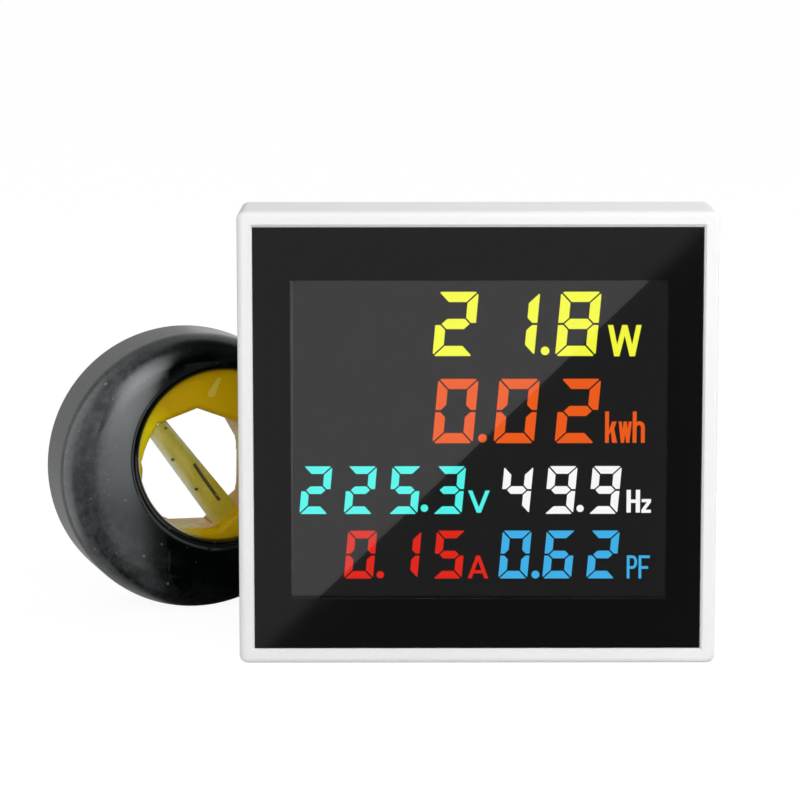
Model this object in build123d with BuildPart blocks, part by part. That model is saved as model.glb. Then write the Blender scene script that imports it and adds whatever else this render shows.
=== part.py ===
from build123d import *
import os
from math import cos, pi, radians, sin

# A panel meter for mains power with its separate current ring. Lengths are in millimetres.
# The origin is the middle of the meter's standing face: X to the right, +Y away from the viewer, +Z up.

# Front housing
bezel_width = 76.0
bezel_height = 72.5
bezel_depth = 17.0
bezel_wall = 2.0
bezel_corner_radius = 1.3
bezel_edge_radius = 0.9
lip_width = 2.4
lip_chamfer = 0.35
ledge_width = 2.2
ledge_thickness = 1.4
post_size = 4.6

# Front window and display
overlay_recess = 0.3
overlay_thickness = 0.2
window_thickness = 1.2
window_play = 0.1
view_border_side = 5.75
view_border_top = 8.35
view_shift = 0.2
view_drop = 0.2
lip_cover = 0.6
lcd_gap = 0.7
lcd_border = 2.2
lcd_plate = 1.1
lcd_ledge = 2.05
film_thickness = 0.2
guide_thickness = 3.0
tray_wall = 1.0
tray_rim = 2.2
tray_foot = 0.9
strip_thickness = 1.6
led_board_thickness = 0.8
led_depth = 1.0
led_count = 6
frame_wall = 1.0
frame_lip = 0.5
hook_width = 2.4
hook_barb = 0.5

# Circuit boards
board_thickness = 1.6
board_play = 0.6
board_gap = 11.5
power_board_play = 0.5
pin_pitch = 2.54
pin_thickness = 0.6
header_columns = 5
header_body = 2.5
header_rise = 12.0

# Parts on the boards: rows are measured from a board's nearest edge, insets from its sides
chip_row = 23.0
controller_size = 10.0
controller_thickness = 1.4
controller_inset = 20.4
driver_width = 12.0
driver_height = 7.5
driver_thickness = 1.6
driver_inset = 14.4
upper_row = 15.75
lower_row = 33.75
outer_inset = 5.0
film_width = 13.0
film_height = 6.0
film_depth = 10.5
varistor_width = 9.0
varistor_height = 4.0
varistor_depth = 9.5
bridge_width = 6.5
bridge_height = 8.3
bridge_thickness = 2.6
bridge_shift = 6.0
metering_width = 6.0
metering_height = 5.0
metering_thickness = 1.5
metering_shift = -6.0
capacitor_diameter = 8.0
capacitor_depth = 9.5
capacitor_edge = 0.5
resistor_diameter = 3.6
resistor_length = 9.0
resistor_edge = 0.6
resistor_inset = 17.0

# Rear case
case_play = 0.2
case_wall = 1.8
case_depth = 37.0
step_depth = 27.0
step_height = 18.8
case_edge_radius = 1.5
snap_width = 8.0
snap_height = 0.45
snap_length = 1.5
snap_depth = 13.5
snap_spacing = 36.0
vent_width = 1.6
vent_length = 12.0
vent_pitch = 5.0
vent_count = 7
screw_post_diameter = 5.6
board_screw_diameter = 2.3
board_screw_length = 8.0
board_screw_head = 4.2
screw_clearance = 0.1

# Terminal blocks with rising clamps
pole_pitch = 7.62
poles = 2
block_height = 12.0
block_rise = 12.4
block_side = 0.6
block_roof = 1.4
block_play = 0.3
block_spacing = 28.0
block_drop = 3.8
cage_width = 5.4
cage_length = 5.0
cage_height = 6.4
cage_wall = 0.8
cage_head = 1.4
cage_play = 0.2
cage_travel = 2.6
terminal_screw_diameter = 3.0
terminal_head_diameter = 4.2
terminal_head_height = 1.2
slot_width = 0.7
turning_clearance = 0.07
bar_thickness = 0.8
bar_width = 3.4
tip_gap = 0.05
entry_width = 3.8
entry_height = 3.5
well_chamfer = 0.3
leg_width = 1.0
solder_length = 0.8

# Reset button
button_diameter = 5.0
button_flange_diameter = 7.2
button_flange_thickness = 2.2
button_edge_radius = 0.4
button_travel = 0.6
hub_clearance = 0.3
button_inset_x = 15.8
button_inset_z = 14.05
button_well_diameter = 8.4
button_well_depth = 0.8
switch_size = 6.0
switch_height = 3.4
switch_base = 0.6
switch_lid = 0.6
stem_diameter = 3.0
stem_flange_width = 0.5
stem_flange_thickness = 0.7
stem_clearance = 0.06

# Sliding panel clips
rail_width = 16.0
rail_depth = 2.4
rail_start = 18.5
undercut_depth = 1.0
undercut_reach = 0.8
clip_play = 0.2
clip_length = 13.0
clip_foot = 2.6
clip_rest = 20.0
clip_tab = 2.0
tongue_width = 5.0
tongue_slot = 0.8
tongue_length = 5.2
grip_ridge = 0.4
grip_pitch = 1.2
grip_count = 3
channel_width = 6.0
channel_depth = 0.6
tooth_pitch = 1.5
tooth_depth = 0.4
tooth_count = 9

# Current ring
ring_diameter = 47.6
ring_thickness = 17.0
ring_x = -48.6
ring_depth = 49.5
ring_turn = 17.2
ring_edge_radius = 4.6
ring_back_radius = 2.0
ring_wall = 1.6
ring_front_wall = 2.7
ring_hole_diameter = 29.4
ring_hole_shift_x = 4.0
ring_hole_shift_z = 2.8
ring_hole_radius = 1.8
cover_thickness = 1.6
core_play = 0.3
tape_thickness = 0.5
tape_bore_diameter = 21.6
tape_facets = 9
tape_corner = 2.4
winding_wall = 1.7
strap_width = 4.8
strap_thickness = 0.35
strap_shift = 1.2
strap_angle = -51.5
strap_depth = 2.2
bush_diameter = 6.0
bush_bore_diameter = 3.4
bush_length = 3.2
bush_offset = 16.0
bush_angle = 215.0

# Places that follow from the sizes above. Depths are measured back from the front face.
front_y = -bezel_depth / 2
mid_height = bezel_height / 2
opening_width = bezel_width - 2 * lip_width
opening_height = bezel_height - 2 * lip_width
window_front = overlay_recess + overlay_thickness
window_back = window_front + window_thickness
ledge_back = window_back + ledge_thickness
cavity_width = bezel_width - 2 * bezel_wall
cavity_height = bezel_height - 2 * bezel_wall
view_width = opening_width - 2 * view_border_side
view_height = opening_height - 2 * view_border_top
lcd_front = window_back + lcd_gap
lcd_width = view_width + 2 * lcd_border
lcd_height = view_height + 2 * lcd_border
lcd_back = lcd_front + 2 * lcd_plate
guide_front = lcd_back + film_thickness
guide_back = guide_front + guide_thickness
tray_back = guide_back + tray_wall
board_front = tray_back + tray_foot
board_back = board_front + board_thickness
power_front = board_back + board_gap
power_back = power_front + board_thickness
board_width = cavity_width - 2 * board_play
board_height = cavity_height - 2 * board_play
case_width = cavity_width - 2 * case_play
case_height = cavity_height - 2 * case_play
case_bottom = mid_height - case_height / 2
case_top = mid_height + case_height / 2
step_top = case_bottom + step_height
button_x = case_width / 2 - button_inset_x
button_z = case_height / 2 - button_inset_z


def at_depth(depth):
    """Plane that faces the viewer, centred on the meter, at a depth behind the front face."""
    return Plane(origin=(0, front_y + depth, mid_height), x_dir=(1, 0, 0), z_dir=(0, -1, 0))


def side_plane(x=0):
    """Plane across the meter for side profiles: first coordinate is depth, second is height."""
    return Plane(origin=(x, front_y, 0), x_dir=(0, 1, 0), z_dir=(1, 0, 0))


def write(part, name):
    """Names a finished piece and writes it."""
    part.label = name
    export_step(part, "parts/" + name + ".step")


os.makedirs("parts", exist_ok=True)

# Front housing: a deep white frame with a seat for the window and posts for the board
with BuildPart() as front_bezel:
    with BuildSketch(at_depth(0)):
        RectangleRounded(bezel_width, bezel_height, bezel_corner_radius)
    extrude(amount=-bezel_depth)
    fillet(front_bezel.faces().sort_by(Axis.Y)[0].edges(), bezel_edge_radius)
    with BuildSketch(at_depth(0)):
        Rectangle(opening_width, opening_height)
    extrude(amount=-window_back, mode=Mode.SUBTRACT)
    opening_edges = front_bezel.faces().sort_by(Axis.Y)[0].inner_wires()[0].edges()
    chamfer(opening_edges, lip_chamfer)
    with BuildSketch(at_depth(window_back)):
        Rectangle(opening_width - 2 * ledge_width, opening_height - 2 * ledge_width)
    extrude(amount=-ledge_thickness, mode=Mode.SUBTRACT)
    with BuildSketch(at_depth(ledge_back)):
        Rectangle(cavity_width, cavity_height)
    extrude(amount=-(bezel_depth - ledge_back), mode=Mode.SUBTRACT)
    with BuildSketch(at_depth(ledge_back)):
        with GridLocations(cavity_width - post_size, cavity_height - post_size, 2, 2):
            Rectangle(post_size, post_size)
    extrude(amount=-(board_front - ledge_back))
    with BuildSketch(at_depth(snap_depth - case_play)):
        with GridLocations(snap_spacing, 0, 2, 1):
            Rectangle(snap_width + 2 * case_play, cavity_height + 2 * snap_height)
    extrude(amount=-(snap_length + 2 * case_play), mode=Mode.SUBTRACT)
write(front_bezel.part, "front_bezel")

# Black border with its clear opening, laid over the window
pane_width = opening_width - 2 * window_play
pane_height = opening_height - 2 * window_play
with BuildPart() as front_overlay:
    with BuildSketch(at_depth(overlay_recess)):
        Rectangle(pane_width, pane_height)
        with Locations((view_shift, -view_drop)):
            Rectangle(view_width, view_height, mode=Mode.SUBTRACT)
    extrude(amount=-overlay_thickness)
write(front_overlay.part, "front_overlay")

with BuildPart() as front_window:
    with BuildSketch(at_depth(window_front)):
        Rectangle(pane_width, pane_height)
    extrude(amount=-window_thickness)
write(front_window.part, "front_window")

# Liquid crystal cell: two glass plates, the rear one short of the contact ledges
with BuildPart() as lcd_cell:
    with BuildSketch(at_depth(lcd_front)):
        with Locations((view_shift, 0)):
            Rectangle(lcd_width, lcd_height)
    extrude(amount=-lcd_plate)
    with BuildSketch(at_depth(lcd_front + lcd_plate)):
        with Locations((view_shift, 0)):
            Rectangle(lcd_width, lcd_height - 2 * lcd_ledge)
    extrude(amount=-lcd_plate)
write(lcd_cell.part, "lcd_cell")

# Film that gives each row of digits its colour
with BuildPart() as colour_film:
    with BuildSketch(at_depth(lcd_back)):
        with Locations((view_shift, 0)):
            Rectangle(lcd_width - 2 * tray_wall, lcd_height - 2 * lcd_ledge - 2 * tray_wall)
    extrude(amount=-film_thickness)
write(colour_film.part, "colour_film")

# White tray round the light guide, on four feet
tray_width = lcd_width
tray_height = lcd_height - 2 * lcd_ledge - 2 * cage_play
tray_inner_width = tray_width - 2 * tray_wall
tray_inner_height = tray_height - 2 * tray_wall
with BuildPart() as reflector_tray:
    with BuildSketch(at_depth(guide_back - tray_rim)):
        with Locations((view_shift, 0)):
            Rectangle(tray_width, tray_height)
    extrude(amount=-(tray_rim + tray_wall))
    with BuildSketch(at_depth(guide_back - tray_rim)):
        with Locations((view_shift, 0)):
            Rectangle(tray_inner_width, tray_inner_height)
    extrude(amount=-tray_rim, mode=Mode.SUBTRACT)
    with BuildSketch(at_depth(tray_back)):
        with Locations((view_shift, 0)):
            with GridLocations(tray_inner_width - post_size, tray_inner_height - post_size, 2, 2):
                Circle(post_size / 2)
    extrude(amount=-tray_foot)
write(reflector_tray.part, "reflector_tray")

# Narrow board of white diodes that feeds the light guide from the left
led_edge = view_shift - tray_inner_width / 2
with BuildPart() as led_strip:
    with BuildSketch(at_depth(guide_back - tray_rim)):
        with Locations((led_edge + led_board_thickness / 2, 0)):
            Rectangle(led_board_thickness, tray_inner_height - 2 * window_play)
    extrude(amount=-tray_rim)
    with BuildSketch(at_depth(guide_back - tray_rim)):
        with Locations((led_edge + led_board_thickness + led_depth / 2, 0)):
            with GridLocations(0, tray_inner_height / led_count, 1, led_count):
                Rectangle(led_depth, 2 * led_depth)
    extrude(amount=-tray_rim)
write(led_strip.part, "led_strip")

guide_left = led_edge + led_board_thickness + led_depth + window_play
guide_right = view_shift + tray_inner_width / 2 - window_play
with BuildPart() as light_guide:
    with BuildSketch(at_depth(guide_front)):
        with Locations(((guide_left + guide_right) / 2, 0)):
            Rectangle(guide_right - guide_left, tray_inner_height - 2 * window_play)
    extrude(amount=-guide_thickness)
write(light_guide.part, "light_guide")

# Black frame that clamps the display to the board with four hooks
frame_inner_width = lcd_width + 2 * window_play
frame_inner_height = lcd_height + 2 * window_play
hook_x = frame_inner_width / 2 + frame_wall / 2
hook_z = frame_inner_height / 4
with BuildPart() as display_frame:
    with BuildSketch(at_depth(lcd_front - frame_lip)):
        with Locations((view_shift, 0)):
            Rectangle(frame_inner_width + 2 * frame_wall, frame_inner_height + 2 * frame_wall)
            Rectangle(frame_inner_width, frame_inner_height, mode=Mode.SUBTRACT)
    extrude(amount=-(board_front - lcd_front + frame_lip))
    with BuildSketch(at_depth(lcd_front - frame_lip)):
        with Locations((view_shift, 0)):
            Rectangle(frame_inner_width + frame_wall, frame_inner_height + frame_wall)
            Rectangle(view_width + 2 * lip_cover, view_height + 2 * lip_cover, mode=Mode.SUBTRACT)
    extrude(amount=-frame_lip)
    for side in (-1, 1):
        for height in (-hook_z, hook_z):
            with BuildSketch(at_depth(board_front)):
                with Locations((view_shift + side * hook_x, height)):
                    Rectangle(frame_wall, hook_width)
            extrude(amount=-(board_thickness + 2 * hook_barb))
            with BuildSketch(at_depth(board_back)):
                with Locations((view_shift + side * (hook_x + hook_barb / 2), height)):
                    Rectangle(frame_wall + hook_barb, hook_width)
            extrude(amount=-2 * hook_barb)
write(display_frame.part, "display_frame")

# Rubber contact strips between the cell's ledges and the board
with BuildPart() as contact_strips:
    with BuildSketch(at_depth(lcd_front + lcd_plate)):
        with Locations((view_shift, 0)):
            with GridLocations(0, lcd_height - strip_thickness - 2 * window_play, 1, 2):
                Rectangle(view_width, strip_thickness)
    extrude(amount=-(board_front - lcd_front - lcd_plate))
write(contact_strips.part, "contact_strips")

# Display board, with slots for the frame's hooks
with BuildPart() as main_board:
    with BuildSketch(at_depth(board_front)):
        Rectangle(board_width, board_height)
        with Locations((view_shift, 0)):
            with GridLocations(2 * hook_x + hook_barb, 2 * hook_z, 2, 2):
                Rectangle(frame_wall + hook_barb + 2 * case_play, hook_width + 2 * case_play, mode=Mode.SUBTRACT)
    extrude(amount=-board_thickness)
write(main_board.part, "main_board")


def add_chip(x, z, width, height, thickness, start):
    """A flat chip package with a marked corner, standing back from a board's face."""
    with BuildPart() as chip:
        with BuildSketch(at_depth(start)):
            with Locations((x, z)):
                Rectangle(width, height)
        extrude(amount=-thickness)
        chamfer(chip.edges().filter_by(Axis.Y).sort_by(Axis.X)[0], thickness / 3)
    return chip.part


chip_z = chip_row - board_height / 2
controller_x = controller_inset + controller_size / 2 - board_width / 2
driver_x = board_width / 2 - driver_inset - driver_width / 2
controller_chip = add_chip(
    controller_x, chip_z, controller_size, controller_size, controller_thickness, board_back
)
write(controller_chip, "controller_chip")
display_driver = add_chip(driver_x, chip_z, driver_width, driver_height, driver_thickness, board_back)
write(display_driver, "display_driver")

# Header that carries power and signals between the two boards
header_z = header_rise - board_height / 2
with BuildPart() as board_header:
    for start in (board_back, power_front - header_body):
        with BuildSketch(at_depth(start)):
            with Locations((0, header_z)):
                Rectangle(header_columns * pin_pitch, 2 * pin_pitch)
        extrude(amount=-header_body)
    with BuildSketch(at_depth(board_back)):
        with Locations((0, header_z)):
            with GridLocations(pin_pitch, pin_pitch, header_columns, 2):
                Rectangle(pin_thickness, pin_thickness)
    extrude(amount=-board_gap)
write(board_header.part, "board_header")

# Rear case: a stepped shell that snaps into the front housing
rail_floor = case_width / 2 - rail_depth
clip_boss_inner = rail_floor - case_wall
block_z = case_bottom + block_drop + block_height / 2 - mid_height
block_width = poles * pole_pitch + block_side
block_top = power_back + block_rise
screw_post_x = clip_boss_inner - screw_post_diameter
screw_post_z = case_height / 2 - case_wall - screw_post_diameter / 2 - power_board_play
case_shell_back = case_depth - case_wall
step_inner = step_depth - case_wall
with BuildPart() as rear_case:
    with BuildSketch(side_plane()):
        with BuildLine():
            Polyline(
                (board_back, case_bottom),
                (step_depth, case_bottom),
                (step_depth, step_top),
                (case_depth, step_top),
                (case_depth, case_top),
                (board_back, case_top),
                close=True,
            )
        make_face()
    extrude(amount=case_width / 2, both=True)
    back_edges = rear_case.faces().sort_by(Axis.Y)[-1].edges()
    fillet(back_edges, case_edge_radius)
    with BuildSketch(side_plane()):
        with BuildLine():
            Polyline(
                (board_back, case_bottom + case_wall),
                (step_inner, case_bottom + case_wall),
                (step_inner, step_top + case_wall),
                (case_shell_back, step_top + case_wall),
                (case_shell_back, case_top - case_wall),
                (board_back, case_top - case_wall),
                close=True,
            )
        make_face()
    extrude(amount=case_width / 2 - case_wall, both=True, mode=Mode.SUBTRACT)
    # Blocks of wall that the clip rails are cut into
    rail_block_height = rail_width + 2 * undercut_reach + 2 * case_wall
    with BuildSketch(at_depth(rail_start - case_wall)):
        with GridLocations(case_width - rail_depth - case_wall, 0, 2, 1):
            Rectangle(rail_depth + case_wall, rail_block_height)
    extrude(amount=-(case_shell_back - rail_start + 2 * case_wall - case_edge_radius))
    with BuildSketch(at_depth(rail_start)):
        with GridLocations(case_width - rail_depth, 0, 2, 1):
            Rectangle(rail_depth, rail_width)
        with GridLocations(case_width - 2 * rail_depth + undercut_depth, 0, 2, 1):
            Rectangle(undercut_depth, rail_width + 2 * undercut_reach)
    extrude(amount=-(case_depth - rail_start), mode=Mode.SUBTRACT)
    # Channel with ratchet teeth in each rail's floor
    with BuildSketch(at_depth(rail_start)):
        with GridLocations(2 * rail_floor - channel_depth, 0, 2, 1):
            Rectangle(channel_depth, channel_width)
    extrude(amount=-(case_depth - rail_start), mode=Mode.SUBTRACT)
    for side in (-1, 1):
        channel_floor = side * (rail_floor - channel_depth)
        tooth_plane = Plane(origin=(0, front_y + rail_start, mid_height))
        with BuildSketch(tooth_plane) as teeth:
            for tooth in range(1, tooth_count + 1):
                with BuildLine():
                    Polyline(
                        (channel_floor, tooth * tooth_pitch),
                        (channel_floor + side * tooth_depth, tooth * tooth_pitch),
                        (channel_floor, (tooth + 1) * tooth_pitch),
                        close=True,
                    )
                make_face()
        extrude(amount=channel_width / 2, both=True)
    # Snap ridges that click into the housing's grooves
    with BuildSketch(at_depth(snap_depth)):
        with GridLocations(snap_spacing, 0, 2, 1):
            Rectangle(snap_width, case_height + 2 * (snap_height - case_play))
        Rectangle(case_width, case_height - case_wall, mode=Mode.SUBTRACT)
    extrude(amount=-snap_length)
    # Posts for the power board
    with BuildSketch(at_depth(power_back)):
        with Locations((-screw_post_x, screw_post_z), (screw_post_x, screw_post_z)):
            Circle(screw_post_diameter / 2)
            Circle((board_screw_diameter + screw_clearance) / 2, mode=Mode.SUBTRACT)
    extrude(amount=-(case_shell_back - power_back))
    with BuildSketch(at_depth(power_back)):
        with GridLocations(2 * screw_post_x, 0, 2, 1):
            with Locations((0, block_z)):
                Rectangle(post_size, post_size)
    extrude(amount=-(step_inner - power_back))
    # Windows for the terminal blocks
    with BuildSketch(at_depth(step_inner)):
        with Locations((0, block_z)):
            with GridLocations(block_spacing, 0, 2, 1):
                Rectangle(block_width + 2 * block_play, block_height + 2 * block_play)
    extrude(amount=-case_wall, mode=Mode.SUBTRACT)
    # Well and hole for the reset button
    with BuildSketch(at_depth(case_depth - button_well_depth)):
        with Locations((button_x, button_z)):
            Circle(button_well_diameter / 2)
    extrude(amount=-button_well_depth, mode=Mode.SUBTRACT)
    with BuildSketch(at_depth(case_shell_back)):
        with Locations((button_x, button_z)):
            Circle(button_diameter / 2 + stem_clearance)
    extrude(amount=-case_wall, mode=Mode.SUBTRACT)
    # Cooling slots in the top
    vent_start = bezel_depth + (case_depth - bezel_depth - vent_length) / 2
    vent_plane = Plane(origin=(0, front_y + vent_start + vent_length / 2, case_top))
    with BuildSketch(vent_plane):
        with GridLocations(vent_pitch, 0, vent_count, 1):
            SlotOverall(vent_length, vent_width, rotation=90)
    extrude(amount=-case_wall, mode=Mode.SUBTRACT)
write(rear_case.part, "rear_case")

# Power board, with holes for its screws and for the terminal pins
leg_z = block_z + block_height / 2 - 2 * leg_width - block_side
pole_places = []
for block_side_sign in (-1, 1):
    for pole in range(poles):
        pole_places.append(block_side_sign * block_spacing / 2 + (pole - (poles - 1) / 2) * pole_pitch)
power_board_width = 2 * (clip_boss_inner - power_board_play)
power_board_height = case_height - 2 * case_wall - 2 * power_board_play
with BuildPart() as power_board:
    with BuildSketch(at_depth(power_front)):
        Rectangle(power_board_width, power_board_height)
        with Locations((-screw_post_x, screw_post_z), (screw_post_x, screw_post_z)):
            Circle((board_screw_diameter + screw_clearance) / 2, mode=Mode.SUBTRACT)
        with Locations(*[(x, leg_z) for x in pole_places]):
            Circle(leg_width, mode=Mode.SUBTRACT)
    extrude(amount=-board_thickness)
write(power_board.part, "power_board")

with BuildPart() as board_screws:
    with BuildSketch(at_depth(power_front)):
        with Locations((-screw_post_x, screw_post_z), (screw_post_x, screw_post_z)):
            Circle(board_screw_diameter / 2)
    extrude(amount=-board_screw_length)
    with BuildSketch(at_depth(power_front)):
        with Locations((-screw_post_x, screw_post_z), (screw_post_x, screw_post_z)):
            Circle(board_screw_head / 2)
    extrude(amount=board_screw_diameter / 2)
write(board_screws.part, "board_screws")

# Parts that stand forward from the power board
upper_z = power_board_height / 2 - upper_row
lower_z = power_board_height / 2 - lower_row
outer_x = power_board_width / 2 - outer_inset
metering_chip = add_chip(
    metering_shift, lower_z, metering_width, metering_height,
    metering_thickness, power_front - metering_thickness
)
write(metering_chip, "metering_chip")
film_capacitor = add_chip(
    film_width / 2 - outer_x, upper_z, film_width, film_height, film_depth, power_front - film_depth
)
write(film_capacitor, "film_capacitor")
bridge_rectifier = add_chip(
    bridge_shift, upper_z, bridge_width, bridge_height, bridge_thickness, power_front - bridge_thickness
)
write(bridge_rectifier, "bridge_rectifier")
varistor = add_chip(
    varistor_width / 2 - outer_x, lower_z, varistor_width, varistor_height,
    varistor_depth, power_front - varistor_depth
)
write(varistor, "varistor")

with BuildPart() as bulk_capacitor:
    with BuildSketch(at_depth(power_front - capacitor_depth)):
        with Locations((outer_x - capacitor_diameter / 2, (upper_z + lower_z) / 2)):
            Circle(capacitor_diameter / 2)
    extrude(amount=-capacitor_depth)
    can_rim = bulk_capacitor.faces().sort_by(Axis.Y)[0].edges()
    chamfer(can_rim, capacitor_edge)
write(bulk_capacitor.part, "bulk_capacitor")

resistor_x = power_board_width / 2 - resistor_inset - resistor_diameter / 2
resistor_y = front_y + power_front - resistor_diameter / 2
with BuildPart() as fuse_resistor:
    with BuildSketch(Plane(origin=(resistor_x, resistor_y, mid_height + lower_z))):
        Circle(resistor_diameter / 2)
    extrude(amount=resistor_length / 2, both=True)
    chamfer(fuse_resistor.edges().filter_by(GeomType.CIRCLE), resistor_edge)
write(fuse_resistor.part, "fuse_resistor")

# Terminal blocks: each pole has a chamber for its rising cage, a wire entry below and a screw well behind
cage_z = block_z - block_height / 2 + entry_height / 2 + cage_length / 2
cage_rest = block_top - block_roof - cage_play - cage_travel - cage_height
bar_depth = cage_rest + cage_height - cage_head - bar_thickness - 2 * tip_gap
chamber_width = cage_width + 2 * cage_play
chamber_length = cage_length + 2 * cage_play
chamber_start = cage_rest - cage_play
chamber_end = block_top - block_roof
entry_start = cage_rest + cage_wall
block_bottom = block_z - block_height / 2
leg_slot_start = cage_z + cage_length / 2
leg_slot_end = leg_z + bar_thickness / 2 + cage_play


def make_block(centre_x):
    """One two-pole block with chambers, wire entries, screw wells and slots for the pins."""
    columns = [centre_x + (pole - (poles - 1) / 2) * pole_pitch for pole in range(poles)]
    with BuildPart() as block:
        with BuildSketch(at_depth(power_back)):
            with Locations((centre_x, block_z)):
                Rectangle(block_width, block_height)
        extrude(amount=-block_rise)
        chamfer(block.faces().sort_by(Axis.Y)[-1].edges().filter_by(Axis.X), block_side)
        with BuildSketch(at_depth(chamber_start)):
            with Locations(*[(x, cage_z) for x in columns]):
                Rectangle(chamber_width, chamber_length)
        extrude(amount=-(chamber_end - chamber_start), mode=Mode.SUBTRACT)
        with BuildSketch(at_depth(chamber_end)):
            with Locations(*[(x, cage_z) for x in columns]):
                Circle(terminal_head_diameter / 2 + turning_clearance)
        extrude(amount=-block_roof, mode=Mode.SUBTRACT)
        chamfer(block.faces().sort_by(Axis.Y)[-1].edges().filter_by(GeomType.CIRCLE), well_chamfer)
        with BuildSketch(at_depth(entry_start)):
            with Locations(*[(x, (block_bottom + cage_z) / 2) for x in columns]):
                Rectangle(entry_width, cage_z - block_bottom)
        extrude(amount=-entry_height, mode=Mode.SUBTRACT)
        for wire in block.faces().sort_by(Axis.Z)[0].inner_wires():
            chamfer(wire.edges(), well_chamfer)
        with BuildSketch(at_depth(power_back)):
            with Locations(*[(x, (leg_slot_start + leg_slot_end) / 2) for x in columns]):
                Rectangle(leg_width + 2 * cage_play, leg_slot_end - leg_slot_start)
        extrude(amount=-(bar_depth + bar_thickness - power_back + cage_play), mode=Mode.SUBTRACT)
    return block.part


write(make_block(-block_spacing / 2), "terminal_block_ring")
write(make_block(block_spacing / 2), "terminal_block_mains")

# Contact bars that pass through the cages and turn down to the power board
bar_bottom = cage_z - cage_length / 2
with BuildPart() as terminal_pins:
    for x in pole_places:
        with BuildSketch(side_plane(x)):
            with BuildLine():
                Polyline(
                    (bar_depth, mid_height + bar_bottom),
                    (bar_depth + bar_thickness, mid_height + bar_bottom),
                    (bar_depth + bar_thickness, mid_height + leg_z + bar_thickness / 2),
                    (power_front - solder_length, mid_height + leg_z + bar_thickness / 2),
                    (power_front - solder_length, mid_height + leg_z - bar_thickness / 2),
                    (bar_depth, mid_height + leg_z - bar_thickness / 2),
                    close=True,
                )
            make_face()
        extrude(amount=leg_width / 2, both=True)
        with BuildSketch(at_depth(bar_depth)):
            with Locations((x, cage_z)):
                Rectangle(bar_width, cage_length)
        extrude(amount=-bar_thickness)
write(terminal_pins.part, "terminal_pins")

screw_tip = bar_depth + bar_thickness + tip_gap
head_start = cage_rest + cage_height + cage_travel + cage_play + tip_gap
for number, x in enumerate(pole_places, start=1):
    with BuildPart() as clamp_cage:
        with BuildSketch(at_depth(cage_rest)):
            with Locations((x, cage_z)):
                Rectangle(cage_width, cage_length)
        extrude(amount=-cage_height)
        with BuildSketch(at_depth(cage_rest + cage_wall)):
            with Locations((x, cage_z)):
                Rectangle(cage_width - 2 * cage_wall, cage_length)
        extrude(amount=-(cage_height - cage_wall - cage_head), mode=Mode.SUBTRACT)
        with BuildSketch(at_depth(cage_rest + cage_height - cage_head)):
            with Locations((x, cage_z)):
                Circle(terminal_screw_diameter / 2 + turning_clearance)
        extrude(amount=-cage_head, mode=Mode.SUBTRACT)
    write(clamp_cage.part, "clamp_cage_" + str(number))

    with BuildPart() as terminal_screw:
        with BuildSketch(at_depth(screw_tip)):
            with Locations((x, cage_z)):
                Circle(terminal_screw_diameter / 2)
        extrude(amount=-(head_start - screw_tip))
        with BuildSketch(at_depth(head_start)):
            with Locations((x, cage_z)):
                Circle(terminal_head_diameter / 2)
        extrude(amount=-terminal_head_height)
        with BuildSketch(at_depth(head_start + terminal_head_height / 2)):
            with Locations((x, cage_z)):
                Rectangle(terminal_head_diameter, slot_width)
        extrude(amount=-terminal_head_height / 2, mode=Mode.SUBTRACT)
    write(terminal_screw.part, "terminal_screw_" + str(number))

# Reset button in the back wall, on the stem of its switch
stem_flange = stem_diameter + 2 * stem_flange_width
chamber_floor = power_back + switch_base
stem_back = case_shell_back - button_flange_thickness
hub_front = power_back + switch_height + button_travel + hub_clearance
flange_back = power_back + switch_height - switch_lid - tip_gap
with BuildPart() as switch_body:
    with BuildSketch(at_depth(power_back)):
        with Locations((button_x, button_z)):
            Rectangle(switch_size, switch_size)
    extrude(amount=-switch_height)
    with BuildSketch(at_depth(chamber_floor)):
        with Locations((button_x, button_z)):
            Circle(stem_flange / 2 + stem_clearance)
    extrude(amount=-(switch_height - switch_lid - chamber_floor + power_back), mode=Mode.SUBTRACT)
    with BuildSketch(at_depth(chamber_floor)):
        with Locations((button_x, button_z)):
            Circle(stem_diameter / 2 + stem_clearance)
    extrude(amount=-switch_height, mode=Mode.SUBTRACT)
write(switch_body.part, "switch_body")

with BuildPart() as switch_stem:
    with BuildSketch(at_depth(flange_back - stem_flange_thickness)):
        with Locations((button_x, button_z)):
            Circle(stem_flange / 2)
    extrude(amount=-stem_flange_thickness)
    with BuildSketch(at_depth(flange_back)):
        with Locations((button_x, button_z)):
            Circle(stem_diameter / 2)
    extrude(amount=-(stem_back - flange_back))
write(switch_stem.part, "switch_stem")

with BuildPart() as reset_button:
    with BuildSketch(at_depth(hub_front)):
        with Locations((button_x, button_z)):
            Circle(button_diameter / 2)
            Circle(stem_diameter / 2, mode=Mode.SUBTRACT)
    extrude(amount=-(stem_back - hub_front))
    with BuildSketch(at_depth(stem_back)):
        with Locations((button_x, button_z)):
            Circle(button_flange_diameter / 2)
    extrude(amount=-(case_shell_back - stem_back - tip_gap))
    with BuildSketch(at_depth(case_shell_back - tip_gap)):
        with Locations((button_x, button_z)):
            Circle(button_diameter / 2)
    extrude(amount=-(case_wall + tip_gap))
    fillet(reset_button.faces().sort_by(Axis.Y)[-1].edges(), button_edge_radius)
write(reset_button.part, "reset_button")


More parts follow.
